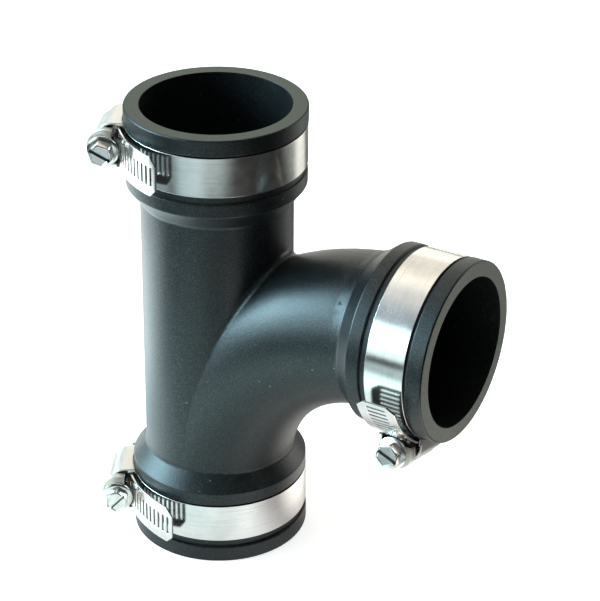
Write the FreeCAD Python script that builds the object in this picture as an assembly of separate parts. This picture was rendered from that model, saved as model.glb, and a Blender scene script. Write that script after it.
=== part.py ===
import FreeCAD, Part
import math
import os

# Flexible sanitary tee for 1-1/2 in pipe, with three worm-drive band clamps. Millimetres.
# Z is the run axis, with the lower mouth at z = 0. The branch leaves along +X after a long sweep.

# Pipe, run and branch
pipe_radius = 24.13
socket_clearance = 0.07
waterway_radius = 20.45
tube_wall = 4.15
bend_setback = 0.10
run_height = 153.5
branch_height = 90.3
seam_fillet = 2.0

# Socket, measured inwards from its mouth
socket_depth = 23.3
socket_wall = 4.0
rim_length = 5.6
rim_rise = 1.0
groove_slack = 2.9
ridge_length = 4.5
ridge_rise = 0.8
taper_length = 5.6
rim_bevel = 0.4
ridge_bevel = 0.35
ridge_rounding = 0.9
taper_rounding = 2.5

# Band strip
band_width = 13.2
band_thickness = 0.65
band_clearance = 0.2
upper_band_margin = 0.4
lower_band_margin = 2.6
branch_band_margin = 0.8
entry_bend_radius = 12.0
straight_behind = 4.0
straight_ahead = 3.0
tail_near_radius = 26.0
tail_near_turn = 25.0
tail_far_radius = 46.0
tail_far_turn = 29.3
fixed_end_angle = 13.0
tail_corner = 3.6
slot_pitch = 2.2
slot_width = 0.9
slot_length = 6.4
slots_in_tail = 12
slots_behind = 12
slot_tip_margin = 2.0

# Saddle plate under the strip
seat_gap = 0.02
saddle_thickness = 0.5
strip_gap = 0.13
ear_length = 1.25
ear_height = 2.4
ear_gap = 0.05

# Housing, a pressed shell over the worm
side_gap = 0.1
shell_wall = 0.7
worm_rise = 2.85
barrel_radius = 5.5
shoulder_rise = 0.8
crease_lift = 23.0
housing_back = 7.0
back_rounding = 1.6
leg_front = 9.3
collar_front = 12.0
collar_rings = 2
collar_pitch = 1.5
collar_length = 0.9
collar_rise = 0.4
collar_dish_radius = 5.0
collar_dish_depth = 0.4
leg_clearance = 0.25
collar_lift = 0.9

# Screw
worm_clearance = 0.1
neck_radius = 3.2
journal_clearance = 0.08
pilot_radius = 1.8
pilot_length = 2.4
flange_gap = 2.6
flange_radius = 5.1
flange_edge = 0.45
flange_cone = 0.35
hex_sides = 6
hex_flats = 7.0
hex_height = 3.5
hex_chamfer = 0.3
driver_slot_width = 1.2
driver_slot_depth = 1.2
worm_end_gap = 0.4

# Where each housing stands round its socket, how far its screw is turned, and how far the
# corners of the screw's hexagon stand from its slot, as angles
upper_clamp_angle = 201.7
lower_clamp_angle = 207.0
branch_clamp_angle = 257.0
upper_screw_turn = 152.5
lower_screw_turn = 47.0
branch_screw_turn = 69.5
upper_hex_turn = 10.0
lower_hex_turn = 40.0
branch_hex_turn = 40.0

# Worked out from the sizes above
groove_length = band_width + groove_slack
hex_corner = hex_flats / 2 / math.cos(math.pi / hex_sides)
socket_radius = pipe_radius + socket_clearance
groove_radius = socket_radius + socket_wall
rim_radius = groove_radius + rim_rise
ridge_radius = groove_radius + ridge_rise
tube_radius = waterway_radius + tube_wall
bend_tube_radius = tube_radius - bend_setback
bend_bore_radius = waterway_radius - bend_setback
bend_radius = branch_height - socket_depth
ridge_start = rim_length + groove_length
ridge_end = ridge_start + ridge_length
taper_end = ridge_end + taper_length

band_inner = groove_radius + band_clearance
band_outer = band_inner + band_thickness
band_middle = (band_inner + band_outer) / 2
saddle_inner = band_outer + seat_gap
saddle_outer = saddle_inner + saddle_thickness
strip_bottom = saddle_outer + strip_gap
strip_middle = strip_bottom + band_thickness / 2
strip_top = strip_bottom + band_thickness
worm_axis = strip_top + worm_rise
worm_radius = worm_rise - worm_clearance
leg_bottom = max(rim_radius, ridge_radius) + leg_clearance
collar_bottom = strip_top + collar_lift
inner_half_width = band_width / 2 + side_gap
outer_half_width = inner_half_width + shell_wall
shoulder_level = strip_top + shoulder_rise
flange_back = collar_front + flange_gap
flange_front = flange_back + flange_edge + flange_cone
hex_face = flange_front + hex_height

UP = FreeCAD.Vector(0, 0, 1)
ORIGIN = FreeCAD.Vector(0, 0, 0)
far = 4 * run_height
tolerance = 0.001


def point(x, y, z=0.0):
    return FreeCAD.Vector(x, y, z)


def polygon(points):
    """Face inside a closed line of corner points."""
    return Part.Face(Part.makePolygon(list(points) + [points[0]]))


def round_corner(before, corner, after, radius):
    """Start, middle and end of the arc that rounds a corner between two straight lines."""
    to_before = (before - corner).normalize()
    to_after = (after - corner).normalize()
    half = to_before.getAngle(to_after) / 2
    reach = radius / math.tan(half)
    bisector = (to_before + to_after).normalize()
    middle = corner + bisector * (radius / math.sin(half) - radius)
    return corner + to_before * reach, middle, corner + to_after * reach


def rounded_wire(corners):
    """Closed wire through (point, radius) corners; radius 0 keeps a corner sharp."""
    ends = []
    edges = []
    for i, (corner, radius) in enumerate(corners):
        before = corners[i - 1][0]
        after = corners[(i + 1) % len(corners)][0]
        start, end = corner, corner
        if radius > 0:
            start, middle, end = round_corner(before, corner, after, radius)
            edges.append(Part.Arc(start, middle, end).toShape())
        ends.append((start, end))
    for i, (start, end) in enumerate(ends):
        following = ends[(i + 1) % len(ends)][0]
        edges.append(Part.LineSegment(end, following).toShape())
    return Part.Wire(Part.__sortEdges__(edges))


def socket_outline(inner_end):
    """Outer half profile of a socket in the XZ plane: mouth at z = 0, tube running up to inner_end."""
    corners = [
        (point(0, 0, 0), 0),
        (point(rim_radius - rim_bevel, 0, 0), 0),
        (point(rim_radius, 0, rim_bevel), 0),
        (point(rim_radius, 0, rim_length - rim_bevel), 0),
        (point(rim_radius - rim_bevel, 0, rim_length), 0),
        (point(groove_radius, 0, rim_length), 0),
        (point(groove_radius, 0, ridge_start), 0),
        (point(ridge_radius - ridge_bevel, 0, ridge_start), 0),
        (point(ridge_radius, 0, ridge_start + ridge_bevel), 0),
        (point(ridge_radius, 0, ridge_end), ridge_rounding),
        (point(tube_radius, 0, taper_end), taper_rounding),
        (point(tube_radius, 0, inner_end), 0),
        (point(0, 0, inner_end), 0),
    ]
    return Part.Face(rounded_wire(corners))


def socket_solid(inner_end):
    return socket_outline(inner_end).revolve(ORIGIN, UP, 360)


def bend_solid(radius):
    """Quarter sweep of a round section from the run axis to the branch axis."""
    section = Part.makeCircle(radius, point(0, 0, socket_depth), UP)
    disc = Part.Face(Part.Wire(section))
    centre = point(bend_radius, 0, socket_depth)
    return disc.revolve(centre, point(0, 1, 0), 90)


def upper_socket_frame():
    return FreeCAD.Placement(point(0, 0, run_height), FreeCAD.Rotation(point(1, 0, 0), 180))


def branch_socket_frame():
    mouth = point(bend_radius + socket_depth, 0, branch_height)
    return FreeCAD.Placement(mouth, FreeCAD.Rotation(point(0, 1, 0), -90))


def placed(shape, frame):
    copy = shape.copy()
    copy.Placement = frame.multiply(copy.Placement)
    return copy


def on_seam(edge):
    """True for an edge that lies on both the run's tube and the bend."""
    p = edge.valueAt((edge.FirstParameter + edge.LastParameter) / 2)
    off_run = math.hypot(p.x, p.y) - tube_radius
    from_centre = math.hypot(p.x - bend_radius, p.z - socket_depth)
    off_bend = math.hypot(from_centre - bend_radius, p.y) - bend_tube_radius
    return abs(off_run) < 0.01 and abs(off_bend) < 0.01


def tee_outside():
    half = run_height / 2
    lower = socket_solid(half)
    upper = placed(socket_solid(half), upper_socket_frame())
    branch = placed(socket_solid(taper_end + taper_rounding), branch_socket_frame())
    run = lower.fuse(upper)
    whole = run.fuse([bend_solid(bend_tube_radius), branch]).removeSplitter()
    return whole.makeFillet(seam_fillet, [edge for edge in whole.Edges if on_seam(edge)])


def tee_inside():
    run = Part.makeCylinder(waterway_radius, run_height)
    socket = Part.makeCylinder(socket_radius, socket_depth)
    sockets = [
        socket,
        placed(socket, upper_socket_frame()),
        placed(socket, branch_socket_frame()),
    ]
    return run.fuse([bend_solid(bend_bore_radius)] + sockets)


def tee_body():
    return tee_outside().cut(tee_inside())


class Bend:
    """Arc of the strip's centre line. Angles run clockwise from +Y, in degrees."""

    def __init__(self, centre, radius, start, end):
        self.centre = centre
        self.radius = radius
        self.start = start
        self.end = end
        self.length = radius * math.radians(end - start)

    def outward(self, angle):
        a = math.radians(angle)
        return point(math.sin(a), math.cos(a))

    def at(self, angle, offset=0.0):
        return self.centre + self.outward(angle) * (self.radius + offset)

    def edge(self, offset):
        middle = (self.start + self.end) / 2
        points = [self.at(angle, offset) for angle in (self.start, middle, self.end)]
        return Part.Arc(*points).toShape()

    def back_from_end(self, distance):
        angle = self.end - math.degrees(distance / self.radius)
        return self.at(angle), self.outward(angle)


class Straight:
    """Straight run of the strip's centre line."""

    def __init__(self, start, end):
        along = (end - start).normalize()
        self.along = along
        self.across = point(-along.y, along.x)
        self.first = start
        self.last = end
        self.length = (end - start).Length

    def edge(self, offset):
        shift = self.across * offset
        return Part.LineSegment(self.first + shift, self.last + shift).toShape()

    def back_from_end(self, distance):
        return self.last - self.along * distance, self.across


def strip_path():
    """Centre line of the strip, from its fixed end round the ring and out to the tail's tip.

    X is along the screw towards its head and Y points out from the socket axis. The strip
    leaves the ring on a tangent, bends level over the saddle and springs clear as the tail.
    """
    drop = strip_middle - entry_bend_radius
    swing = math.hypot(straight_behind, drop)
    lean = math.atan2(straight_behind, drop)
    entry = math.degrees(lean + math.acos((band_middle - entry_bend_radius) / swing))
    ring = Bend(ORIGIN, band_middle, -fixed_end_angle, 360 - entry)
    rise_centre = point(-straight_behind, strip_middle - entry_bend_radius)
    rise = Bend(rise_centre, entry_bend_radius, -entry, 0)
    tangent = Straight(ring.at(-entry), rise.at(-entry))
    level_end = point(straight_ahead, strip_middle)
    level = Straight(rise.at(0), level_end)
    near_centre = level_end - point(0, tail_near_radius)
    near = Bend(near_centre, tail_near_radius, 0, tail_near_turn)
    far_centre = near.at(tail_near_turn) - near.outward(tail_near_turn) * tail_far_radius
    tail = Bend(far_centre, tail_far_radius, tail_near_turn, tail_near_turn + tail_far_turn)
    return [ring, tangent, rise, level, near, tail]


def strip_outline():
    """Face of the strip seen along the socket axis."""
    half = band_thickness / 2
    path = strip_path()
    outer = [piece.edge(half) for piece in path]
    inner = [piece.edge(-half) for piece in path]
    ends = []
    for i, j in ((0, 0), (-1, 1)):
        outside = outer[i].Vertexes[j].Point
        inside = inner[i].Vertexes[j].Point
        ends.append(Part.LineSegment(outside, inside).toShape())
    return Part.Face(Part.Wire(Part.__sortEdges__(outer + inner + ends)))


def walk_back(distance):
    """Point and outward direction on the strip's centre line, measured from the tail's tip."""
    for piece in reversed(strip_path()):
        if distance <= piece.length:
            break
        distance -= piece.length
    return piece.back_from_end(distance)


def slot_cutter(at, outward):
    """Box through the strip at a point of its centre line."""
    box = Part.makeBox(slot_width, band_thickness * 3, slot_length)
    box.translate(point(-slot_width / 2, -band_thickness * 1.5, -slot_length / 2))
    turn = FreeCAD.Rotation(point(0, 1, 0), outward)
    box.Placement = FreeCAD.Placement(at, turn).multiply(box.Placement)
    return box


def band():
    strip = strip_outline().extrude(point(0, 0, band_width))
    strip.translate(point(0, 0, -band_width / 2))
    cutters = []
    for i in range(slots_in_tail + slots_behind):
        at, outward = walk_back(slot_tip_margin + i * slot_pitch)
        cutters.append(slot_cutter(at, outward))
    tip, outward = walk_back(0)
    for side in (-1, 1):
        corner = tip + point(0, 0, side * band_width / 2)
        square = Part.makeBox(tail_corner, band_thickness * 6, tail_corner)
        square.translate(point(-tail_corner / 2, -band_thickness * 3, -tail_corner / 2))
        square.rotate(ORIGIN, point(0, 1, 0), 45)
        turn = FreeCAD.Rotation(point(0, 1, 0), outward)
        square.Placement = FreeCAD.Placement(corner, turn).multiply(square.Placement)
        cutters.append(square)
    return strip.cut(cutters)


def ring_sector(inner, outer, low_x, high_x, half_width):
    """Part of a ring round the socket axis between two x values, on the housing's side."""
    ring = Part.makeCylinder(outer, 2 * half_width).cut(Part.makeCylinder(inner, 2 * half_width))
    ring.translate(point(0, 0, -half_width))
    window = Part.makeBox(high_x - low_x, far, 2 * half_width)
    window.translate(point(low_x, 0, -half_width))
    return ring.common(window)


def saddle_ear(low_x, side):
    """Corner of the saddle, turned up beside the strip and in front of a housing leg."""
    high_x = low_x + ear_length
    inside = inner_half_width + ear_gap
    outside = inside + saddle_thickness
    foot = ring_sector(leg_bottom, leg_bottom + saddle_thickness, low_x, high_x, outside)
    keep = Part.makeBox(far, far, outside)
    keep.translate(point(-far / 2, -far / 2, band_width / 2 - saddle_thickness))
    foot = foot.common(keep)
    reach = max(abs(low_x), abs(high_x))
    base = math.sqrt((leg_bottom + saddle_thickness / 2) ** 2 - reach ** 2)
    ear = Part.makeBox(ear_length, ear_height, saddle_thickness)
    ear.translate(point(low_x, base, inside))
    both = foot.fuse(ear)
    if side < 0:
        both = both.mirror(ORIGIN, UP)
    return both


def saddle():
    back_x = -housing_back - ear_gap - ear_length
    front_x = leg_front + ear_gap
    high_x = front_x + ear_length
    plate = ring_sector(saddle_inner, saddle_outer, back_x, high_x, band_width / 2)
    ears = [saddle_ear(x, side) for x in (back_x, front_x) for side in (-1, 1)]
    return plate.fuse(ears).removeSplitter()


def shoulder_profile(half_width, shoulder, radius, low_y):
    """Face in the YZ plane: straight legs that round over on a tangent to creases on the barrel."""
    lift = math.radians(crease_lift)
    crease_z = radius * math.cos(lift)
    crease_y = worm_axis + radius * math.sin(lift)
    run = half_width - crease_z
    rise = crease_y - shoulder
    bend = (run ** 2 + rise ** 2) / (2 * run)
    half_turn = math.atan2(run, rise)
    middle_z = half_width - bend + bend * math.cos(half_turn)
    middle_y = shoulder + bend * math.sin(half_turn)
    centre = point(0, worm_axis)
    edges = [Part.LineSegment(point(0, low_y, -half_width), point(0, low_y, half_width)).toShape()]
    for side in (-1, 1):
        crease = point(0, crease_y, side * crease_z)
        middle = point(0, middle_y, side * middle_z)
        knee = point(0, shoulder, side * half_width)
        foot = point(0, low_y, side * half_width)
        edges.append(Part.LineSegment(centre, crease).toShape())
        edges.append(Part.Arc(crease, middle, knee).toShape())
        edges.append(Part.LineSegment(knee, foot).toShape())
    return Part.Face(Part.Wire(Part.__sortEdges__(edges)))


def x_cylinder(radius, low_x, high_x):
    """Cylinder round the screw's axis."""
    return Part.makeCylinder(radius, high_x - low_x, point(low_x, worm_axis), point(1, 0, 0))


def below(level, low_x, high_x):
    """Box that removes all lower than a level between two x values."""
    box = Part.makeBox(high_x - low_x, far, far)
    box.translate(point(low_x, level - far, -far / 2))
    return box


def round_back(solid, low_y):
    """Round the outer edges of a solid's back end. Its foot and what the barrel holds stay sharp."""
    held_radius = barrel_radius / 2 + tolerance
    back_edges = []
    for edge in solid.Edges:
        middle = edge.valueAt((edge.FirstParameter + edge.LastParameter) / 2)
        at_back = all(abs(v.X + housing_back) < tolerance for v in edge.Vertexes)
        off_axis = math.hypot(middle.y - worm_axis, middle.z)
        if at_back and off_axis > held_radius and middle.y > low_y + tolerance:
            back_edges.append(edge)
    return solid.makeFillet(back_rounding, back_edges)


def housing_arch(low_y):
    """Solid barrel on solid shoulders, from the rounded back end to the legs' front."""
    face = shoulder_profile(outer_half_width, shoulder_level, barrel_radius, low_y)
    shoulders = face.extrude(point(leg_front + housing_back, 0, 0))
    shoulders.translate(point(-housing_back, 0, 0))
    barrel = x_cylinder(barrel_radius, -housing_back, leg_front)
    return round_back(barrel, low_y).fuse(round_back(shoulders, low_y))


def housing_hollow(low_y):
    """Room inside the arch, one wall in from its outside and open at both ends."""
    inner_shoulder = shoulder_level - shell_wall / 2
    inner_radius = barrel_radius - shell_wall
    face = shoulder_profile(inner_half_width, inner_shoulder, inner_radius, low_y - 1)
    shoulders = face.extrude(point(far, 0, 0))
    shoulders.translate(point(-far / 2, 0, 0))
    return shoulders.fuse(x_cylinder(inner_radius, -far / 2, far / 2))


def housing_nose():
    """Round tube in front of the arch, with raised rings and a dished front wall round the neck."""
    nose = x_cylinder(barrel_radius, leg_front - shell_wall, collar_front)
    nose = nose.fuse([
        x_cylinder(
            barrel_radius + collar_rise,
            collar_front - i * collar_pitch - collar_length,
            collar_front - i * collar_pitch,
        )
        for i in range(collar_rings)
    ])
    return nose.cut([
        x_cylinder(barrel_radius - shell_wall, 0, collar_front - collar_length),
        x_cylinder(collar_dish_radius, collar_front - collar_dish_depth, collar_front + 1),
        below(collar_bottom, 0, collar_front + 1),
    ])


def housing():
    low_y = leg_bottom * 0.8
    arch = housing_arch(low_y)
    back_wall = x_cylinder(barrel_radius, -housing_back, -housing_back + shell_wall)
    back_wall = back_wall.common(arch).cut(below(collar_bottom, -housing_back - 1, 0))
    body = arch.cut(housing_hollow(low_y)).fuse([housing_nose(), back_wall])
    body = body.cut([
        x_cylinder(neck_radius + journal_clearance, 0, collar_front + 1),
        x_cylinder(pilot_radius + journal_clearance, -housing_back - 1, 0),
    ])
    socket_space = Part.makeCylinder(leg_bottom, 4 * band_width)
    socket_space.translate(point(0, 0, -2 * band_width))
    return body.cut(socket_space)


def hex_prism(turn, low_x, high_x):
    """Hexagonal bar round the screw's axis, with a corner at an angle from Y."""
    points = []
    for i in range(hex_sides):
        a = math.radians(turn) + 2 * math.pi * i / hex_sides
        points.append(point(low_x, worm_axis + hex_corner * math.cos(a), hex_corner * math.sin(a)))
    return polygon(points).extrude(point(high_x - low_x, 0, 0))


def screw(hex_turn):
    """Worm screw with its driver slot along Y. The slot is cut at any angle to the hexagon."""
    pilot_end = -housing_back + shell_wall - pilot_length
    worm_back = -housing_back + shell_wall + worm_end_gap
    neck_back = leg_front
    shank = [
        x_cylinder(pilot_radius, pilot_end, worm_back),
        x_cylinder(worm_radius, worm_back, neck_back),
        x_cylinder(neck_radius, neck_back, flange_back),
    ]
    edge = flange_back + flange_edge
    flange = x_cylinder(flange_radius, flange_back, edge)
    cone = Part.makeCone(
        flange_radius, hex_corner, flange_cone, point(edge, worm_axis), point(1, 0, 0)
    )
    head = hex_prism(hex_turn, edge, hex_face)
    face_radius = hex_corner - hex_chamfer
    slope_length = hex_height + flange_cone + hex_chamfer
    slope_radius = face_radius + slope_length
    slope = Part.makeCone(
        slope_radius, face_radius, slope_length,
        point(hex_face - slope_length, worm_axis), point(1, 0, 0),
    )
    head = head.common(slope)
    driver_slot = Part.makeBox(driver_slot_depth, far, driver_slot_width)
    driver_slot.translate(point(hex_face - driver_slot_depth, -far / 2, -driver_slot_width / 2))
    whole = shank[0].fuse(shank[1:] + [flange, cone, head])
    return whole.cut(driver_slot).removeSplitter()


def clamp_frame(origin, outwards, socket_axis):
    """Clamp pieces are drawn with X towards the screw head and Y out from the socket axis."""
    along = socket_axis.cross(outwards)
    third = along.cross(outwards)
    matrix = FreeCAD.Matrix(
        along.x, outwards.x, third.x, origin.x,
        along.y, outwards.y, third.y, origin.y,
        along.z, outwards.z, third.z, origin.z,
        0, 0, 0, 1,
    )
    return FreeCAD.Placement(matrix)


def clamp_frames():
    """Each clamp's place, from its margin between band and rim."""
    half = band_width / 2
    upper_z = run_height - rim_length - upper_band_margin - half
    lower_z = rim_length + lower_band_margin + half
    branch_x = bend_radius + socket_depth - rim_length - branch_band_margin - half

    def round_z(degrees):
        a = math.radians(degrees)
        return point(math.cos(a), math.sin(a), 0)

    def round_x(degrees):
        a = math.radians(degrees)
        return point(0, math.cos(a), math.sin(a))

    return {
        "upper": clamp_frame(point(0, 0, upper_z), round_z(upper_clamp_angle), UP),
        "lower": clamp_frame(point(0, 0, lower_z), round_z(lower_clamp_angle), UP),
        "branch": clamp_frame(
            point(branch_x, 0, branch_height), round_x(branch_clamp_angle), point(-1, 0, 0)
        ),
    }


def main():
    os.makedirs("parts", exist_ok=True)
    nodes = {"tee_body": tee_body()}
    pieces = {"band": band(), "saddle": saddle(), "housing": housing()}
    screw_turns = {
        "upper": (upper_screw_turn, upper_hex_turn),
        "lower": (lower_screw_turn, lower_hex_turn),
        "branch": (branch_screw_turn, branch_hex_turn),
    }
    for clamp, frame in clamp_frames().items():
        for piece, shape in pieces.items():
            nodes[f"{clamp}_clamp_{piece}"] = placed(shape, frame)
        screw_turn, hex_turn = screw_turns[clamp]
        turned = screw(hex_turn)
        turned.rotate(point(0, worm_axis), point(1, 0, 0), screw_turn)
        nodes[f"{clamp}_clamp_screw"] = placed(turned, frame)
    for name, shape in nodes.items():
        print(name, len(shape.Solids), round(shape.Volume, 2), shape.isValid())
        shape.exportStep(f"parts/{name}.step")


main()
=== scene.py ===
import bmesh
import bpy
import math
from mathutils import Matrix, Vector


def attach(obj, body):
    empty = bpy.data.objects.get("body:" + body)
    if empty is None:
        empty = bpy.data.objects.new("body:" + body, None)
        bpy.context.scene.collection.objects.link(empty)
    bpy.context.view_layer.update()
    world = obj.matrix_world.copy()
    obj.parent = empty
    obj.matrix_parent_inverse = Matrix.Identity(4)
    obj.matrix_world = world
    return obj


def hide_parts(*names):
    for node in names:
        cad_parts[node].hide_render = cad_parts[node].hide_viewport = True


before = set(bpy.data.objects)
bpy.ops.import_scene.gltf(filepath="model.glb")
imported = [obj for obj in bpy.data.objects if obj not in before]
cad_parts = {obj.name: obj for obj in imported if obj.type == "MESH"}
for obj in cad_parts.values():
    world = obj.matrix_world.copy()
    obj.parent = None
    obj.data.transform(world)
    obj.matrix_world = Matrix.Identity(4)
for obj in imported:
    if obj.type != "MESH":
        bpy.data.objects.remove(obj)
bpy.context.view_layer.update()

# The frame is in metres, and sizes are in millimetres where no comment says otherwise
MM = 0.001

# The part's own sizes, as its source has them
run_height = 153.5
branch_height = 90.3
bend_radius = 67.0
socket_depth = 23.3
tube_radius = 24.6
socket_radius = 24.2
slot_pitch = 2.2
worm_axis = 33.2
worm_radius = 2.75
worm_root = 2.0
worm_back = -5.9
pilot_radius = 1.8
pilot_end = -8.7
neck_radius = 3.2
neck_back = 9.3
flange_radius = 5.1
flange_back = 14.6
flange_edge = 0.45
flange_cone = 0.35
hex_sides = 6
hex_flats = 7.0
hex_corner = hex_flats / 2 / math.cos(math.pi / hex_sides)
hex_face = 18.9
driver_slot_width = 1.2
driver_slot_depth = 1.2

# How far each screw is turned, and its hexagon's corners from its slot, in degrees
screw_turns = {"upper": 152.5, "lower": 47.0, "branch": 69.5}
hex_turns = {"upper": 10.0, "lower": 40.0, "branch": 40.0}

# Each clamp's centre on its socket's axis, and where its housing stands round it, in degrees
clamp_places = {
    "upper": ((0.0, 0.0, 140.9), 201.7),
    "lower": ((0.0, 0.0, 14.8), 207.0),
    "branch": ((77.3, 0.0, 90.3), 257.0),
}

# Edge rounding of each kind of piece
edge_rounding = {"tee": 0.16, "band": 0.12, "saddle": 0.1, "housing": 0.16}
crease_rounding = 0.5
crease_shortest = 4.0

# The tee's rounded edges end this far past a socket's depth and this far inside its bore
rounded_past_socket = 4.0
rounded_inside_bore = 0.3

# First edge of the branch's flare: its place, the reach behind it, the widest gap that is
# joined, and the share of the bend's radius from which a point is on its skin
flare_start = 56.0
flare_reach = 1.0
flare_gap = 1.05
flare_skin = 0.97

# Angles between two faces: at a sharp edge, in a flat, at a fold and at a break in the shading
sharp_from = math.radians(28)
flat_within = math.radians(0.4)
folded_from = math.radians(60)
shading_breaks_from = math.radians(40)

# How strongly large faces lead the shading; 50 is neutral
large_face_weight = 60

# How near a face lies to a plane, and cosines of how squarely a face looks some way
on_plane = 0.05
looks_out = 0.9
looks_inwards = 0.3
looks_lengthwise = 0.7
looks_forward = 0.99

# The screw's finer forms, and the steps of its round ones
pilot_chamfer = 0.2
flange_chamfer = 0.12
flange_bevel_length = 0.08
flange_bevel_rise = 0.1
hex_rounding = 0.26
hex_lip_width = 0.38
hex_dish_slope = 0.22
hex_dish_depth = 0.24
thread_turns = 6
thread_half_root = 0.72
thread_half_crest = 0.28
thread_sink = 0.1
steps_in_thread_turn = 24
steps_round_bar = 48

# Points this close are joined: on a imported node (in metres), on a screw and at its slot's cut
merge_within = 0.002 * MM
screw_merge = 0.0005
cut_merge = 0.0001

# Places on a screw this close are one, and a hair is enough to tell two apart
near_enough = 0.001
hair = 0.01


def clamp_matrix(name):
    """From a clamp's own axes (X to the screw head, Y outwards) to the frame, in metres."""
    origin, degrees = clamp_places[name]
    turn = math.radians(degrees)
    if name == "branch":
        outwards = Vector((0, math.cos(turn), math.sin(turn)))
        socket_axis = Vector((-1, 0, 0))
    else:
        outwards = Vector((math.cos(turn), math.sin(turn), 0))
        socket_axis = Vector((0, 0, 1))
    along = socket_axis.cross(outwards)
    third = along.cross(outwards)
    columns = Matrix((along, outwards, third)).transposed().to_4x4()
    return Matrix.Translation(Vector(origin) * MM) @ columns


def copy_of_node(node):
    """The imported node's mesh with its loose triangles joined, ready to shape."""
    bm = bmesh.new()
    bm.from_mesh(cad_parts[node].data)
    bmesh.ops.remove_doubles(bm, verts=bm.verts[:], dist=merge_within)
    bmesh.ops.dissolve_degenerate(bm, dist=merge_within, edges=bm.edges[:])
    return bm


def join_flats(bm):
    """Turn triangles that lie flat together into single faces."""
    bmesh.ops.dissolve_limit(
        bm, angle_limit=flat_within, use_dissolve_boundaries=False,
        verts=bm.verts[:], edges=bm.edges[:], delimit={"NORMAL"},
    )


def sharp_edges(bm):
    """Edges where two faces meet at a clear angle."""
    found = []
    for edge in bm.edges:
        if len(edge.link_faces) == 2 and edge.calc_face_angle(0) > sharp_from:
            found.append(edge)
    return found


def round_edges(bm, edges, width):
    """Soften some edges of a shape, width in millimetres."""
    bmesh.ops.bevel(
        bm, geom=edges, offset=width * MM, offset_type="OFFSET", affect="EDGES",
        segments=2, profile=0.5, material=-1, clamp_overlap=False, loop_slide=True,
    )


def new_piece(name, bm, body, finish):
    """Make a finished piece of a bmesh, with its place in its mesh."""
    mesh = bpy.data.meshes.new(name)
    bm.to_mesh(mesh)
    bm.free()
    mesh.shade_smooth()
    mesh.set_sharp_from_angle(angle=shading_breaks_from)
    for material in finish:
        mesh.materials.append(material)
    piece = bpy.data.objects.new(name, mesh)
    bpy.context.scene.collection.objects.link(piece)
    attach(piece, body)
    return piece


def weigh_normals(piece):
    """Let the large faces lead the shading, so that flats stay flat between rounded edges."""
    modifier = piece.modifiers.new("weigh_normals", "WEIGHTED_NORMAL")
    modifier.keep_sharp = True
    modifier.weight = large_face_weight


# Places of the Mix node's colour sockets among its inputs and outputs
mix_mask = 0
mix_first = 6
mix_second = 7
mix_result = 2


class Nodes:
    """Short hand for building the node tree of a material or a group."""

    def __init__(self, tree):
        self.tree = tree

    def add(self, kind, **settings):
        node = self.tree.nodes.new(kind)
        for key, value in settings.items():
            setattr(node, key, value)
        return node

    def link(self, source, target):
        self.tree.links.new(source, target)

    def math(self, operation, *inputs):
        node = self.add("ShaderNodeMath", operation=operation)
        for socket, value in zip(node.inputs, inputs):
            if isinstance(value, (int, float)):
                socket.default_value = value
            else:
                self.link(value, socket)
        return node.outputs[0]

    def noise(self, vector, scale, detail=2.0, roughness=0.5):
        node = self.add("ShaderNodeTexNoise")
        self.link(vector, node.inputs["Vector"])
        node.inputs["Scale"].default_value = scale
        node.inputs["Detail"].default_value = detail
        node.inputs["Roughness"].default_value = roughness
        return node.outputs["Fac"]

    def ramp(self, value, low, high, to_low=0.0, to_high=1.0, interpolation="LINEAR"):
        node = self.add("ShaderNodeMapRange", interpolation_type=interpolation)
        self.link(value, node.inputs["Value"])
        node.inputs["From Min"].default_value = low
        node.inputs["From Max"].default_value = high
        node.inputs["To Min"].default_value = to_low
        node.inputs["To Max"].default_value = to_high
        return node.outputs[0]

    def mix(self, mask, first, second):
        node = self.add("ShaderNodeMix", data_type="RGBA")
        self.link(mask, node.inputs[mix_mask])
        for place, value in ((mix_first, first), (mix_second, second)):
            if isinstance(value, tuple):
                node.inputs[place].default_value = (*value, 1.0)
            else:
                self.link(value, node.inputs[place])
        return node.outputs[mix_result]

    def bump(self, height, strength, distance):
        node = self.add("ShaderNodeBump")
        self.link(height, node.inputs["Height"])
        node.inputs["Strength"].default_value = strength
        node.inputs["Distance"].default_value = distance
        return node.outputs[0]


def start_material(name):
    """New material with its shader, and a node helper on it."""
    material = bpy.data.materials.new(name)
    material.use_nodes = True
    nodes = Nodes(material.node_tree)
    shader = material.node_tree.nodes["Principled BSDF"]
    where = nodes.add("ShaderNodeTexCoord").outputs["Object"]
    return material, nodes, shader, where


def start_group(name, results):
    """New node group with a Place input and one float output for each result."""
    tree = bpy.data.node_groups.new(name, "ShaderNodeTree")
    tree.interface.new_socket("Place", in_out="INPUT", socket_type="NodeSocketVector")
    for result in results:
        tree.interface.new_socket(result, in_out="OUTPUT", socket_type="NodeSocketFloat")
    nodes = Nodes(tree)
    place = nodes.add("NodeGroupInput").outputs["Place"]
    output = nodes.add("NodeGroupOutput")
    return tree, nodes, place, output


# How fine the patterns on the surfaces are, in cells per metre
cloud_scale = 45.0
grain_scale = 2300.0
dust_scale = 330.0
dusty_spot_scale = 190.0
smear_scale = 150.0
paper_scale = 300.0

# Level of the slow noise from which rubber is dusty, and a speck's core and edge, in cells
dusty_from = 0.66
dust_core = 0.07
dust_edge = 0.12

# Lines on steel, in cells per metre along X, Y and Z: even all ways, or drawn out round a socket
fine_even_lines = (2200.0, 2200.0, 2200.0)
coarse_even_lines = (900.0, 900.0, 900.0)
lines_round_run = (60.0, 60.0, 3000.0)
lines_round_branch = (3000.0, 60.0, 60.0)

# Depth of the rubber's grain and the steel's lines, in metres
grain_depth = 0.08 * MM
line_depth = 0.02 * MM

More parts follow.
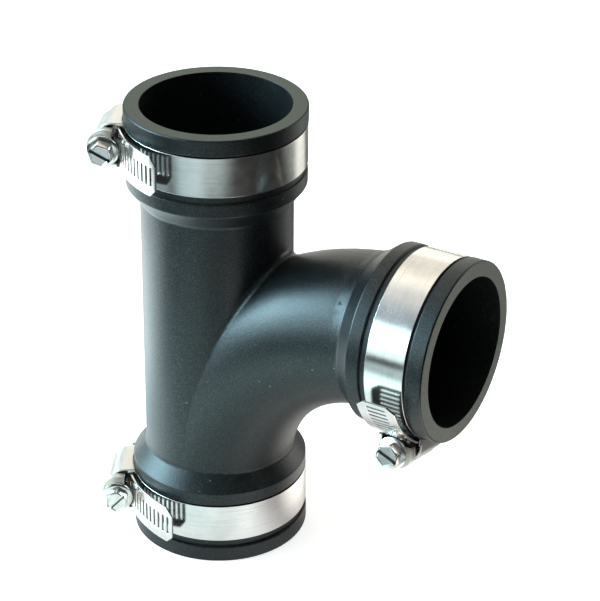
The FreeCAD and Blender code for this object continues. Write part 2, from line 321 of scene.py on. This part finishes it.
# Colours of the rubber's skin, and the share of a steel's colour left in smears and lines
rubber_dark = (0.0014, 0.0018, 0.0020)
rubber_speckle = (0.0340, 0.0430, 0.0490)
dust_colour = (0.16, 0.16, 0.15)
smear_shade = 0.9
line_shade = 0.8

# The strips of all three clamps have one finish
strip_finish = {"colour": (0.92, 0.87, 0.84), "roughness": 0.17, "marks": 0.12}


def rubber_surface_group():
    """Cloud for slow changes, Grain for the mould's texture, Dust for scattered pale specks."""
    tree, nodes, place, output = start_group("rubber_surface", ("Cloud", "Grain", "Dust"))
    nodes.link(nodes.noise(place, cloud_scale, detail=3.0), output.inputs["Cloud"])
    nodes.link(nodes.noise(place, grain_scale, roughness=0.65), output.inputs["Grain"])
    cells = nodes.add("ShaderNodeTexVoronoi")
    nodes.link(place, cells.inputs["Vector"])
    cells.inputs["Scale"].default_value = dust_scale
    speck = nodes.ramp(cells.outputs["Distance"], dust_core, dust_edge, to_low=1.0, to_high=0.0)
    spots = nodes.noise(place, dusty_spot_scale, detail=1.0)
    few = nodes.math("GREATER_THAN", spots, dusty_from)
    nodes.link(nodes.math("MULTIPLY", speck, few), output.inputs["Dust"])
    return tree


def steel_surface_group():
    """Smear for handling marks, and Lines for rolling or drawing lines along the stretched place."""
    tree, nodes, place, output = start_group("steel_surface", ("Smear", "Lines"))
    where = nodes.add("ShaderNodeTexCoord").outputs["Object"]
    nodes.link(nodes.noise(where, smear_scale, detail=4.0, roughness=0.65), output.inputs["Smear"])
    nodes.link(nodes.noise(place, scale=1.0, roughness=0.6), output.inputs["Lines"])
    return tree


rubber_surface = rubber_surface_group()
steel_surface = steel_surface_group()


def place_surface(nodes, group, place):
    """Put one of the surface groups in a material."""
    surface = nodes.add("ShaderNodeGroup", node_tree=group)
    nodes.link(place, surface.inputs["Place"])
    return surface


def rubber_material():
    """Moulded black rubber: satin, with a fine grain, cloudy bloom and a little dust."""
    material, nodes, shader, where = start_material("moulded_rubber")
    surface = place_surface(nodes, rubber_surface, where)
    speckle = nodes.ramp(surface.outputs["Grain"], low=0.48, high=0.72)
    colour = nodes.mix(speckle, rubber_dark, rubber_speckle)
    colour = nodes.mix(surface.outputs["Dust"], colour, dust_colour)
    nodes.link(colour, shader.inputs["Base Color"])
    bloom = nodes.ramp(surface.outputs["Cloud"], low=0.3, high=0.7, to_low=0.33, to_high=0.39)
    nodes.link(bloom, shader.inputs["Roughness"])
    grain = nodes.bump(surface.outputs["Grain"], strength=0.7, distance=grain_depth)
    nodes.link(grain, shader.inputs["Normal"])
    shader.inputs["IOR"].default_value = 1.5
    return material


def cut_rubber_material(name, dark, pale):
    """A mouth's end face, trimmed after moulding: paler, browner and rougher than the skin."""
    material, nodes, shader, where = start_material(name)
    surface = place_surface(nodes, rubber_surface, where)
    speckle = nodes.ramp(surface.outputs["Grain"], low=0.3, high=0.72)
    nodes.link(nodes.mix(speckle, dark, pale), shader.inputs["Base Color"])
    grain = nodes.bump(surface.outputs["Grain"], strength=0.5, distance=grain_depth)
    nodes.link(grain, shader.inputs["Normal"])
    shader.inputs["Roughness"].default_value = 0.6
    return material


def steel_material(name, colour, roughness, marks, stretch=fine_even_lines):
    """Steel with handling marks. Marks sets how far its lines show, and stretch how they run."""
    material, nodes, shader, where = start_material(name)
    place = nodes.add("ShaderNodeVectorMath", operation="MULTIPLY")
    nodes.link(where, place.inputs[0])
    place.inputs[1].default_value = stretch
    surface = place_surface(nodes, steel_surface, place.outputs[0])
    smear = surface.outputs["Smear"]
    lines = surface.outputs["Lines"]
    smeared = tuple(smear_shade * channel for channel in colour)
    lined = tuple(line_shade * channel for channel in colour)
    shade = nodes.mix(nodes.ramp(smear, low=0.35, high=0.65), smeared, colour)
    shade = nodes.mix(nodes.ramp(lines, low=0.2, high=0.5), lined, shade)
    nodes.link(shade, shader.inputs["Base Color"])
    smooth = roughness * 0.8
    rough = roughness * 1.25
    handled = nodes.ramp(smear, low=0.3, high=0.7, to_low=smooth, to_high=rough)
    nodes.link(handled, shader.inputs["Roughness"])
    nodes.link(nodes.bump(lines, marks, line_depth), shader.inputs["Normal"])
    shader.inputs["Metallic"].default_value = 1.0
    return material


materials = {
    "rubber": rubber_material(),
    "cut": cut_rubber_material(
        "trimmed_rubber", dark=(0.048, 0.044, 0.030), pale=(0.105, 0.098, 0.073),
    ),
    # Painted light: the branch's trimmed mouth is painted much paler than the run's mouths, for light
    # that falls little on that side
    "painted_light_branch_cut": cut_rubber_material(
        "trimmed_branch_rubber_painted_light", dark=(0.27, 0.27, 0.235), pale=(0.45, 0.46, 0.42),
    ),
    "band": steel_material("band_strip_steel", **strip_finish, stretch=lines_round_run),
    "branch_band": steel_material("branch_strip_steel", **strip_finish, stretch=lines_round_branch),
    # Painted shade: the saddle's steel is painted darker than its own colour, for the shadow it sits
    # in
    "saddle": steel_material("saddle_plate_steel_painted_shade", (0.50, 0.49, 0.48), roughness=0.3, marks=0.2),
    "housing": steel_material("housing_shell_steel", (0.92, 0.86, 0.81), roughness=0.42, marks=0.3),
    "screw": steel_material(
        "screw_bright_steel", (0.86, 0.81, 0.77), roughness=0.2, marks=0.6,
        stretch=coarse_even_lines,
    ),
    # Painted shade: near-black steel on the clamps' inner faces and the screws' slot walls, standing
    # in for their shadow
    "inside": steel_material("painted_shade_inner_steel", (0.07, 0.07, 0.07), roughness=0.45, marks=0.2),
    # Painted shade: the walls of the strips' slots are painted darker, for the shade inside the slots
    "painted_shade_slot_wall": steel_material("slot_wall_steel", (0.32, 0.32, 0.32), roughness=0.4, marks=0.2),
}


def from_socket(point):
    """Depth into the nearest socket and distance from its axis, in millimetres."""
    places = (
        (point.z, math.hypot(point.x, point.y)),
        (run_height - point.z, math.hypot(point.x, point.y)),
        (branch_height - point.x, math.hypot(point.y, point.z - branch_height)),
    )
    return min(places)


def on_socket(edge):
    """True for an edge of a socket's rim, groove, ridge or mouth, and not of the bores' seam."""
    middle = (edge.verts[0].co + edge.verts[1].co) / 2 / MM
    depth, off_axis = from_socket(middle)
    outside_bore = off_axis > socket_radius - rounded_inside_bore
    return depth < socket_depth + rounded_past_socket and outside_bore


def tee_finish(face):
    """Material slot of a face: 1 on the run's mouths, 2 on the branch's mouth, 0 on the skin."""
    middle = face.calc_center_median() / MM
    upper = abs(middle.z - run_height) < on_plane and face.normal.z > looks_out
    lower = abs(middle.z) < on_plane and face.normal.z < -looks_out
    branch = abs(middle.x - branch_height) < on_plane and face.normal.x > looks_out
    if upper or lower:
        return 1
    return 2 if branch else 0


def lower_flare_edge(bm):
    """Lower the flare's first edge, which stands proud of the bend, so that it shades smoothly.

    The bend's skin is close to an ellipse there, as wide as the tube. A point's share is its
    distance from the ellipse's middle, with 1 on the ellipse.
    """
    back = bend_radius - flare_start
    bend_centre = branch_height - bend_radius
    middle = bend_centre + math.sqrt(bend_radius ** 2 - back ** 2)
    rise = bend_centre + math.sqrt((bend_radius + tube_radius) ** 2 - back ** 2) - middle
    near_edge = []
    for vert in bm.verts:
        x, y, z = vert.co / MM
        share = math.hypot(y / tube_radius, (z - middle) / rise)
        if flare_start - flare_reach < x < flare_start + on_plane and share > flare_skin:
            near_edge.append(vert)
            if share > 1 and x > flare_start - on_plane:
                vert.co = Vector((x, y / share, middle + (z - middle) / share)) * MM
    bmesh.ops.remove_doubles(bm, verts=near_edge, dist=flare_gap * MM)
    bm.normal_update()
    left = {vert for vert in near_edge if vert.is_valid}
    folded = []
    for edge in bm.edges:
        beside = len(edge.link_faces) == 2 and any(vert in left for vert in edge.verts)
        if beside and edge.calc_face_angle(0) > folded_from:
            folded.append(edge)
    bmesh.ops.dissolve_edges(bm, edges=folded)


def rubber_tee():
    """The moulded body, with its three trimmed mouths."""
    bm = copy_of_node("tee_body")
    lower_flare_edge(bm)
    for face in bm.faces:
        face.material_index = tee_finish(face)
    join_flats(bm)
    round_edges(bm, [edge for edge in sharp_edges(bm) if on_socket(edge)], edge_rounding["tee"])
    # The branch's mouth takes the trim that is painted paler for light
    finish = [materials[key] for key in ("rubber", "cut", "painted_light_branch_cut")]
    piece = new_piece("moulded_tee", bm, "tee", finish)
    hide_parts("tee_body")
    weigh_normals(piece)


def clamp_finish(face, to_clamp, kind):
    """Material slot of a face: 1 on the sheet's inner side and 2 on a slot's walls, both steel
    painted dark for shade, 0 elsewhere.

    A housing's inner faces look at the screw's axis, and a strip's at the socket's axis. The walls
    of a strip's slots lie across its length.
    """
    middle = to_clamp @ face.calc_center_median() / MM
    normal = to_clamp.to_3x3() @ face.normal
    if kind == "housing":
        outwards = Vector((0, middle.y - worm_axis, middle.z)).normalized()
    else:
        outwards = Vector((middle.x, middle.y, 0)).normalized()
    lengthwise = outwards.cross(Vector((0, 0, 1)))
    if normal.dot(outwards) < -looks_inwards:
        return 1
    return 2 if kind == "band" and abs(normal.dot(lengthwise)) > looks_lengthwise else 0


def soften_creases(bm):
    """Round the hollow creases that run along a housing's shoulders."""
    creases = []
    for edge in sharp_edges(bm):
        if not edge.is_convex and edge.calc_length() > crease_shortest * MM:
            creases.append(edge)
    round_edges(bm, creases, crease_rounding)


def clamp_piece(clamp, kind):
    """One pressed or rolled piece of a clamp, with its edges softened."""
    node = f"{clamp}_clamp_{kind}"
    bm = copy_of_node(node)
    to_clamp = clamp_matrix(clamp).inverted()
    for face in bm.faces:
        face.material_index = clamp_finish(face, to_clamp, kind)
    join_flats(bm)
    if kind == "housing":
        soften_creases(bm)
    round_edges(bm, sharp_edges(bm), edge_rounding[kind])
    branch_strip = clamp == "branch" and kind == "band"
    outer = materials["branch_band" if branch_strip else kind]
    # Slots 1 and 2 of a clamp piece are steel painted dark for shade
    finish = [outer, materials["inside"], materials["painted_shade_slot_wall"]]
    piece = new_piece(f"{clamp}_{kind}", bm, f"{clamp}_clamp", finish)
    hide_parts(node)
    weigh_normals(piece)


def turned_bar(bm, outline):
    """Revolve an outline of (along, radius) points round the screw's axis, in millimetres."""
    verts = [bm.verts.new((x, worm_axis + radius, 0)) for x, radius in outline]
    edges = [bm.edges.new(pair) for pair in zip(verts, verts[1:])]
    bmesh.ops.spin(
        bm, geom=verts + edges, cent=(0, worm_axis, 0), axis=(1, 0, 0), dvec=(0, 0, 0),
        angle=2 * math.pi, steps=steps_round_bar, use_merge=True, use_duplicate=False,
    )


def worm_thread(bm):
    """The worm's thread: a ridge wound round its root, one turn for each slot of the strip."""
    start = worm_back + thread_half_root
    foot = worm_root - thread_sink
    outline = (
        (start - thread_half_root, foot), (start - thread_half_crest, worm_radius),
        (start + thread_half_crest, worm_radius), (start + thread_half_root, foot),
    )
    verts = [bm.verts.new((x, worm_axis + radius, 0)) for x, radius in outline]
    edges = [bm.edges.new((verts[i - 1], verts[i])) for i in range(len(verts))]
    wound = bmesh.ops.spin(
        bm, geom=verts + edges, cent=(0, worm_axis, 0), axis=(1, 0, 0),
        dvec=(slot_pitch / steps_in_thread_turn, 0, 0), angle=2 * math.pi * thread_turns,
        steps=steps_in_thread_turn * thread_turns, use_merge=False, use_duplicate=False,
    )
    bmesh.ops.contextual_create(bm, geom=edges)
    last = [item for item in wound["geom_last"] if isinstance(item, bmesh.types.BMEdge)]
    bmesh.ops.contextual_create(bm, geom=last)


def near(value, target):
    """True where two places on a screw are one, in millimetres."""
    return abs(value - target) < near_enough


def cut_driver_slot(bm):
    """Cut the slot along Y through the screw's head."""
    floor = hex_face - driver_slot_depth
    half = driver_slot_width / 2
    planes = (
        ((floor, 0, 0), (1, 0, 0)),
        ((0, 0, half), (0, 0, 1)),
        ((0, 0, -half), (0, 0, 1)),
    )
    for place, facing in planes:
        geometry = bm.verts[:] + bm.edges[:] + bm.faces[:]
        bmesh.ops.bisect_plane(bm, geom=geometry, dist=cut_merge, plane_co=place, plane_no=facing)
    inside = []
    for face in bm.faces:
        centre = face.calc_center_median()
        if abs(centre.z) < half and centre.x > floor + hair:
            inside.append(face)
    bmesh.ops.delete(bm, geom=inside, context="FACES")

    rim = [edge for edge in bm.edges if edge.is_boundary and edge.verts[0].co.x > floor - hair]
    floor_edges = [edge for edge in rim if all(near(vert.co.x, floor) for vert in edge.verts)]
    for side in (half, -half):
        wall = [edge for edge in rim if all(near(vert.co.z, side) for vert in edge.verts)]
        ends = {vert for edge in wall for vert in edge.verts if near(vert.co.x, floor)}
        foot = bm.edges.new(sorted(ends, key=lambda vert: vert.co.y))
        made = bmesh.ops.contextual_create(bm, geom=wall + [foot])
        # The slot's walls take slot 1, steel painted dark for shade
        for face in made["faces"]:
            face.material_index = 1
        floor_edges.append(foot)
    bmesh.ops.contextual_create(bm, geom=floor_edges)


def hex_head(clamp):
    """Hexagonal head with softened corners, a raised lip round a dished face, and its slot."""
    bm = bmesh.new()
    start = flange_back + flange_edge
    turn = math.radians(hex_turns[clamp])
    cosine = math.cos(turn)
    sine = math.sin(turn)
    facing_along = Matrix(((0, 0, 1), (sine, cosine, 0), (-cosine, sine, 0))).to_4x4()
    place = Matrix.Translation((start, worm_axis, 0)) @ facing_along
    bmesh.ops.create_circle(bm, cap_ends=True, segments=hex_sides, radius=hex_corner, matrix=place)
    raised = bmesh.ops.extrude_face_region(bm, geom=bm.faces[:])["geom"]
    raised = [item for item in raised if isinstance(item, bmesh.types.BMVert)]
    bmesh.ops.translate(bm, verts=raised, vec=(hex_face - start, 0, 0))
    halfway = (start + hex_face) / 2
    corners = [edge for edge in bm.edges if max(vert.co.x for vert in edge.verts) > halfway]
    bmesh.ops.bevel(
        bm, geom=corners, offset=hex_rounding, offset_type="OFFSET", affect="EDGES",
        segments=2, profile=0.5, material=-1, clamp_overlap=True,
    )
    bm.normal_update()
    front = []
    for face in bm.faces:
        if face.normal.x > looks_forward and near(face.calc_center_median().x, hex_face):
            front.append(face)
    bmesh.ops.inset_region(bm, faces=front, thickness=hex_lip_width, use_even_offset=True)
    bmesh.ops.inset_region(bm, faces=front, thickness=hex_dish_slope, use_even_offset=True)
    dish = {vert for face in front for vert in face.verts}
    bmesh.ops.translate(bm, verts=list(dish), vec=(-hex_dish_depth, 0, 0))
    cut_driver_slot(bm)
    return bm


def worm_screw(clamp):
    """The whole screw: pilot, threaded worm, neck, flange and slotted hexagonal head."""
    bm = bmesh.new()
    edge = flange_back + flange_edge
    turned_bar(bm, (
        (pilot_end, 0), (pilot_end, pilot_radius - pilot_chamfer),
        (pilot_end + pilot_chamfer, pilot_radius), (worm_back, pilot_radius),
        (worm_back, worm_root), (neck_back, worm_root),
        (neck_back, neck_radius), (flange_back, neck_radius),
        (flange_back, flange_radius - flange_chamfer), (flange_back + flange_chamfer, flange_radius),
        (edge - flange_bevel_length, flange_radius), (edge, flange_radius - flange_bevel_rise),
        (edge + flange_cone, hex_corner), (edge + flange_cone, 0),
    ))
    worm_thread(bm)
    head = hex_head(clamp)
    spare = bpy.data.meshes.new("spare")
    head.to_mesh(spare)
    head.free()
    bm.from_mesh(spare)
    bpy.data.meshes.remove(spare)
    bmesh.ops.remove_doubles(bm, verts=bm.verts[:], dist=screw_merge)
    bmesh.ops.recalc_face_normals(bm, faces=bm.faces[:])
    axis = Matrix.Translation((0, worm_axis, 0))
    turn = Matrix.Rotation(math.radians(screw_turns[clamp]), 4, "X")
    place = clamp_matrix(clamp) @ Matrix.Scale(MM, 4) @ (axis @ turn @ axis.inverted())
    bmesh.ops.transform(bm, verts=bm.verts[:], matrix=place)
    # Slot 1 is steel painted dark for shade, on the walls of the head's slot
    finish = [materials["screw"], materials["inside"]]
    piece = new_piece(f"{clamp}_screw", bm, f"{clamp}_screw", finish)
    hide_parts(f"{clamp}_clamp_screw")


rubber_tee()
for clamp in clamp_places:
    for kind in ("band", "saddle", "housing"):
        clamp_piece(clamp, kind)
    worm_screw(clamp)


# Camera, at the photograph's viewing angle: angles in degrees, and the focal length in pixels
view_azimuth = 30.554
view_elevation = 28.578
view_roll = 0.393
view_target = Vector((31.012, 0.0, 91.758)) * MM
view_distance = 766.58 * MM
focal_pixels = 2401.68
picture_height = 601
sensor_width = 36.0


def direction(azimuth, elevation):
    """Unit vector of two angles in degrees; azimuth 0 is towards -Y and 90 towards +X."""
    turn = math.radians(azimuth)
    rise = math.radians(elevation)
    return Vector((
        math.sin(turn) * math.cos(rise),
        -math.cos(turn) * math.cos(rise),
        math.sin(rise),
    ))


def make_camera():
    """Camera that looks at its target from the photograph's side, rolled by a small angle."""
    back = direction(view_azimuth, view_elevation)
    level = Vector((0, 0, 1)).cross(back).normalized()
    upright = back.cross(level)
    roll = math.radians(view_roll)
    right = math.cos(roll) * level + math.sin(roll) * upright
    up = -math.sin(roll) * level + math.cos(roll) * upright
    data = bpy.data.cameras.new("photo_view")
    data.sensor_width = sensor_width
    data.lens = focal_pixels * sensor_width / picture_height
    data.clip_start = 0.01
    data.clip_end = 50.0
    camera = bpy.data.objects.new("photo_view", data)
    turned = Matrix((right, up, back)).transposed().to_4x4()
    camera.matrix_world = Matrix.Translation(view_target + back * view_distance) @ turned
    bpy.context.scene.collection.objects.link(camera)
    bpy.context.scene.camera = camera


def make_world():
    """Plain white surroundings, which show behind the part and its floor."""
    world = bpy.data.worlds.new("studio")
    bpy.context.scene.world = world
    world.use_nodes = True
    background = world.node_tree.nodes["Background"]
    background.inputs["Color"].default_value = (1.0, 1.0, 1.0, 1.0)
    background.inputs["Strength"].default_value = 1.0


# Stage, in metres: the floor lies just under the part, and the table just under the floor
floor_height = -0.00002
table_height = -0.00004
stage_half_width = 3.0
tent_radius = 2.5

# Radiance of tent and table where no light falls on them; a radiance of 1 is white
unlit = (0.03, 0.03, 0.03)

# Soft lights on the tent: azimuth, elevation, inner and outer degrees, radiance
tent_lights = (
    (-64, 27, 12, 24, (7.2, 12.0, 14.2)),
    (-30, 24, 4, 16, (2.2, 3.2, 3.5)),
    (-70, 4, 12, 42, (1.8, 2.6, 2.8)),
    (-65, 52, 8, 40, (0.42, 0.5, 0.55)),
    (-145, 5, 8, 32, (1.2, 1.2, 1.1)),
    (-152, 50, 10, 42, (0.85, 0.85, 0.75)),
    (-25, 10, 5, 22, (1.0, 1.3, 1.3)),
    (30, 48, 6, 36, (0.2, 0.25, 0.25)),
    (0, 90, 8, 40, (0.45, 0.4, 0.3)),
    (150, 10, 6, 24, (2.3, 2.3, 2.2)),
)
# Pale patches on the table: x, y, inner and outer metres, radiance
table_lights = (
    (-0.25, -0.02, 0.06, 0.18, (2.8, 3.3, 3.4)),
    (-0.12, -0.02, 0.04, 0.11, (1.7, 2.2, 2.3)),
    (-0.04, -0.03, 0.02, 0.06, (0.8, 0.9, 0.9)),
    (-0.03, -0.14, 0.04, 0.12, (1.1, 1.6, 1.6)),
    (-0.18, 0.16, 0.05, 0.17, (2.0, 1.8, 1.6)),
    (0.09, -0.12, 0.03, 0.11, (0.45, 0.55, 0.55)),
    (0.13, -0.06, 0.02, 0.09, (2.1, 2.15, 2.1)),
    (0.03, -0.04, 0.01, 0.05, (0.68, 0.8, 0.8)),
    (0.06, 0.0, 0.02, 0.06, (0.4, 0.4, 0.4)),
    (0.05, 0.05, 0.01, 0.05, (1.4, 1.4, 1.3)),
    (0.05, 0.16, 0.05, 0.17, (0.3, 0.3, 0.3)),
    (0.11, 0.29, 0.04, 0.12, (0.75, 0.75, 0.7)),
    (0.0, -0.31, 0.04, 0.14, (0.4, 0.55, 0.6)),
    (-0.11, -0.42, 0.03, 0.14, (0.4, 0.55, 0.55)),
    (-0.20, -0.24, 0.03, 0.13, (0.24, 0.32, 0.35)),
    (0.16, -0.28, 0.04, 0.13, (0.1, 0.15, 0.15)),
    (0.25, -0.60, 0.12, 0.42, (1.0, 1.2, 1.2)),
    (-0.35, 0.50, 0.12, 0.42, (2.0, 2.0, 1.9)),
    (0.35, 0.55, 0.12, 0.42, (1.2, 1.4, 1.3)),
)


def tent_patch(nodes, where, azimuth, elevation, inner, outer):
    """Mask of a soft round patch on the tent, full within inner degrees and gone at outer degrees."""
    outwards = nodes.add("ShaderNodeVectorMath", operation="NORMALIZE")
    nodes.link(where, outwards.inputs[0])
    dot = nodes.add("ShaderNodeVectorMath", operation="DOT_PRODUCT")
    nodes.link(outwards.outputs[0], dot.inputs[0])
    dot.inputs[1].default_value = direction(azimuth, elevation)
    gone = math.cos(math.radians(outer))
    full = math.cos(math.radians(inner))
    return nodes.ramp(dot.outputs["Value"], gone, full, interpolation="SMOOTHSTEP")


def table_patch(nodes, where, x, y, inner, outer):
    """Mask of a soft round patch on the table, full within inner metres and gone at outer metres."""
    distance = nodes.add("ShaderNodeVectorMath", operation="DISTANCE")
    nodes.link(where, distance.inputs[0])
    distance.inputs[1].default_value = (x, y, 0)
    return nodes.ramp(distance.outputs["Value"], outer, inner, interpolation="SMOOTHSTEP")


def patchy_light(name, patch, patches):
    """Glowing material: the unlit radiance with the soft patches added."""
    material = bpy.data.materials.new(name)
    material.use_nodes = True
    tree = material.node_tree
    tree.nodes.remove(tree.nodes["Principled BSDF"])
    nodes = Nodes(tree)
    where = nodes.add("ShaderNodeTexCoord").outputs["Object"]
    total = None
    for *place, radiance in patches:
        glow = nodes.mix(patch(nodes, where, *place), (0.0, 0.0, 0.0), radiance)
        together = nodes.add("ShaderNodeVectorMath", operation="ADD")
        nodes.link(glow, together.inputs[0])
        if total is None:
            together.inputs[1].default_value = unlit
        else:
            nodes.link(total, together.inputs[1])
        total = together.outputs[0]
    light = nodes.add("ShaderNodeEmission")
    nodes.link(total, light.inputs["Color"])
    nodes.link(light.outputs[0], tree.nodes["Material Output"].inputs["Surface"])
    return material


def stage_piece(name, bm, material):
    """A piece of the studio, which is no part of the object."""
    mesh = bpy.data.meshes.new(name)
    bm.to_mesh(mesh)
    bm.free()
    mesh.materials.append(material)
    piece = bpy.data.objects.new(name, mesh)
    bpy.context.scene.collection.objects.link(piece)
    return piece


def stage_plane(name, height, material):
    """A level square of the studio, its middle on the run's axis."""
    bm = bmesh.new()
    bmesh.ops.create_grid(bm, x_segments=1, y_segments=1, size=stage_half_width)
    bmesh.ops.translate(bm, verts=bm.verts[:], vec=(0, 0, height))
    return stage_piece(name, bm, material)


def floor_material():
    """White paper, bright enough to go white in the picture, that keeps the part's shadow."""
    material, nodes, shader, where = start_material("studio_floor")
    weave = nodes.ramp(nodes.noise(where, paper_scale), low=0.3, high=0.7)
    paper = nodes.mix(weave, (0.79, 0.79, 0.79), (0.81, 0.81, 0.80))
    nodes.link(paper, shader.inputs["Base Color"])
    shader.inputs["Roughness"].default_value = 1.0
    shader.inputs["Specular IOR Level"].default_value = 0.0
    shader.inputs["Emission Color"].default_value = (1.0, 1.0, 1.0, 1.0)
    shader.inputs["Emission Strength"].default_value = 0.75
    return material


def make_stage():
    """White floor for the camera; for the part, a lit tent and the table that its sheen shows."""
    floor = stage_plane("studio_floor", floor_height, floor_material())
    floor.visible_diffuse = False
    floor.visible_glossy = False
    floor.visible_shadow = False

    table_light = patchy_light("table_light", table_patch, table_lights)
    table = stage_plane("studio_table", table_height, table_light)
    table.visible_camera = False

    dome = bmesh.new()
    bmesh.ops.create_uvsphere(dome, u_segments=48, v_segments=24, radius=tent_radius)
    tent_light = patchy_light("tent_light", tent_patch, tent_lights)
    tent = stage_piece("studio_tent", dome, tent_light)
    tent.visible_camera = False


make_camera()
make_world()
make_stage()
bpy.context.scene.view_settings.view_transform = "Standard"
